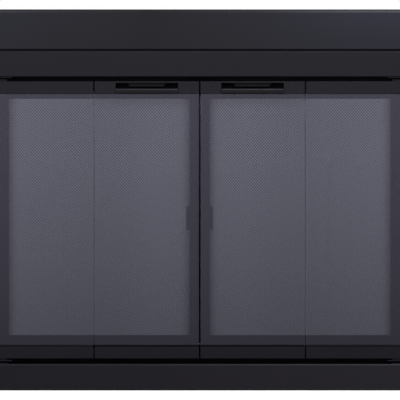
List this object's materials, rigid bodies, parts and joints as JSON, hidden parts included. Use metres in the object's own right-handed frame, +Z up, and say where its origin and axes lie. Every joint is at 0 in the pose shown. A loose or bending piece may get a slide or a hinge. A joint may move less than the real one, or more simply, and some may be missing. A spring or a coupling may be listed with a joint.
{
  "type": "fireplace glass door",
  "caption": "Black steel fireplace door frame with a deep top fascia, bifold smoked glass panels with slotted handles and framed mesh gates behind them.",
  "frame": {"origin": "on the hearth, at the middle of the bottom rail's underside", "axes": "+Z up, -Y towards the room, +X to the right of someone facing the doors"},
  "size_m": [0.9524, 0.1264, 0.762],
  "materials": {
    "fascia_paint": "satin black powder coat",
    "frame_paint": "satin black powder coat",
    "door_paint": "satin black powder coat",
    "handle_paint": "satin black powder coat",
    "insert_paint": "matte black",
    "gate_paint": "matte black powder coat",
    "inner_paint": "matte black high-temperature paint",
    "pivot_steel": "satin black",
    "zinc": "zinc plated",
    "screw_steel": "plain",
    "nylon": "matte",
    "catch_black": "matte",
    "seal": "matte",
    "net_wire": "matte black",
    "smoked_glass": "smoked, tempered"
  },
  "bodies": {
    "frame": {"top_fascia": "fascia_paint", "fascia_spacer": "inner_paint", "header_rail": "frame_paint", "bottom_rail": "frame_paint", "side_jamb_left": "frame_paint", "side_jamb_right": "frame_paint", "gate_stop_frame": "inner_paint", "corner_brackets": "zinc", "frame_screws": "screw_steel", "guide_track": "zinc", "pivot_brackets": "frame_paint", "pivot_bushings": "nylon", "gate_pivot_brackets": "inner_paint", "gate_catches": "catch_black", "lintel_clamps": "zinc", "clamp_bolts": "screw_steel", "hearth_brackets": "zinc"},
    "left_outer_door": {"outer_top_rail_left": "door_paint", "outer_bottom_rail_left": "door_paint", "outer_glass_left": "smoked_glass", "outer_gaskets_left": "seal", "pivot_pins_left": "pivot_steel", "outer_hinge_leaves_left": "door_paint"},
    "left_inner_door": {"inner_top_rail_left": "door_paint", "inner_bottom_rail_left": "door_paint", "inner_glass_left": "smoked_glass", "inner_gaskets_left": "seal", "guide_pin_left": "pivot_steel", "guide_roller_left": "nylon", "handle_pull_left": "handle_paint", "handle_insert_left": "insert_paint", "inner_hinge_leaves_left": "door_paint", "hinge_pins_left": "screw_steel", "astragal": "seal"},
    "right_outer_door": {"outer_top_rail_right": "door_paint", "outer_bottom_rail_right": "door_paint", "outer_glass_right": "smoked_glass", "outer_gaskets_right": "seal", "pivot_pins_right": "pivot_steel", "outer_hinge_leaves_right": "door_paint"},
    "right_inner_door": {"inner_top_rail_right": "door_paint", "inner_bottom_rail_right": "door_paint", "inner_glass_right": "smoked_glass", "inner_gaskets_right": "seal", "guide_pin_right": "pivot_steel", "guide_roller_right": "nylon", "handle_pull_right": "handle_paint", "handle_insert_right": "insert_paint", "inner_hinge_leaves_right": "door_paint", "hinge_pins_right": "screw_steel"},
    "left_gate": {"gate_frame_left": "gate_paint", "gate_net_left": "net_wire", "gate_retainer_left": "gate_paint", "gate_pull_left": "gate_paint", "gate_pins_left": "screw_steel"},
    "right_gate": {"gate_frame_right": "gate_paint", "gate_net_right": "net_wire", "gate_retainer_right": "gate_paint", "gate_pull_right": "gate_paint", "gate_pins_right": "screw_steel"}
  },
  "joints": [
    {"name": "left_outer_swing", "type": "hinge", "parent": "frame", "child": "left_outer_door", "pos_m": [-0.4095, -0.014, 0.34], "axis": [0, 0, -1], "range_deg": [0, 80]},
    {"name": "left_fold", "type": "hinge", "parent": "left_outer_door", "child": "left_inner_door", "pos_m": [-0.2115, -0.0045, 0.34], "axis": [0, 0, 1], "range_deg": [0, 160]},
    {"name": "left_gate_swing", "type": "hinge", "parent": "frame", "child": "left_gate", "pos_m": [-0.398, 0.016, 0.34], "axis": [0, 0, 1], "range_deg": [0, 90]},
    {"name": "right_outer_swing", "type": "hinge", "parent": "frame", "child": "right_outer_door", "pos_m": [0.4095, -0.014, 0.34], "axis": [0, 0, 1], "range_deg": [0, 80]},
    {"name": "right_fold", "type": "hinge", "parent": "right_outer_door", "child": "right_inner_door", "pos_m": [0.2115, -0.0045, 0.34], "axis": [0, 0, -1], "range_deg": [0, 160]},
    {"name": "right_gate_swing", "type": "hinge", "parent": "frame", "child": "right_gate", "pos_m": [0.398, 0.016, 0.34], "axis": [0, 0, -1], "range_deg": [0, 90]}
  ],
  "couplings": [
    {"joint": "left_fold", "follows": "left_outer_swing", "ratio": 2},
    {"joint": "right_fold", "follows": "right_outer_swing", "ratio": 2}
  ]
}
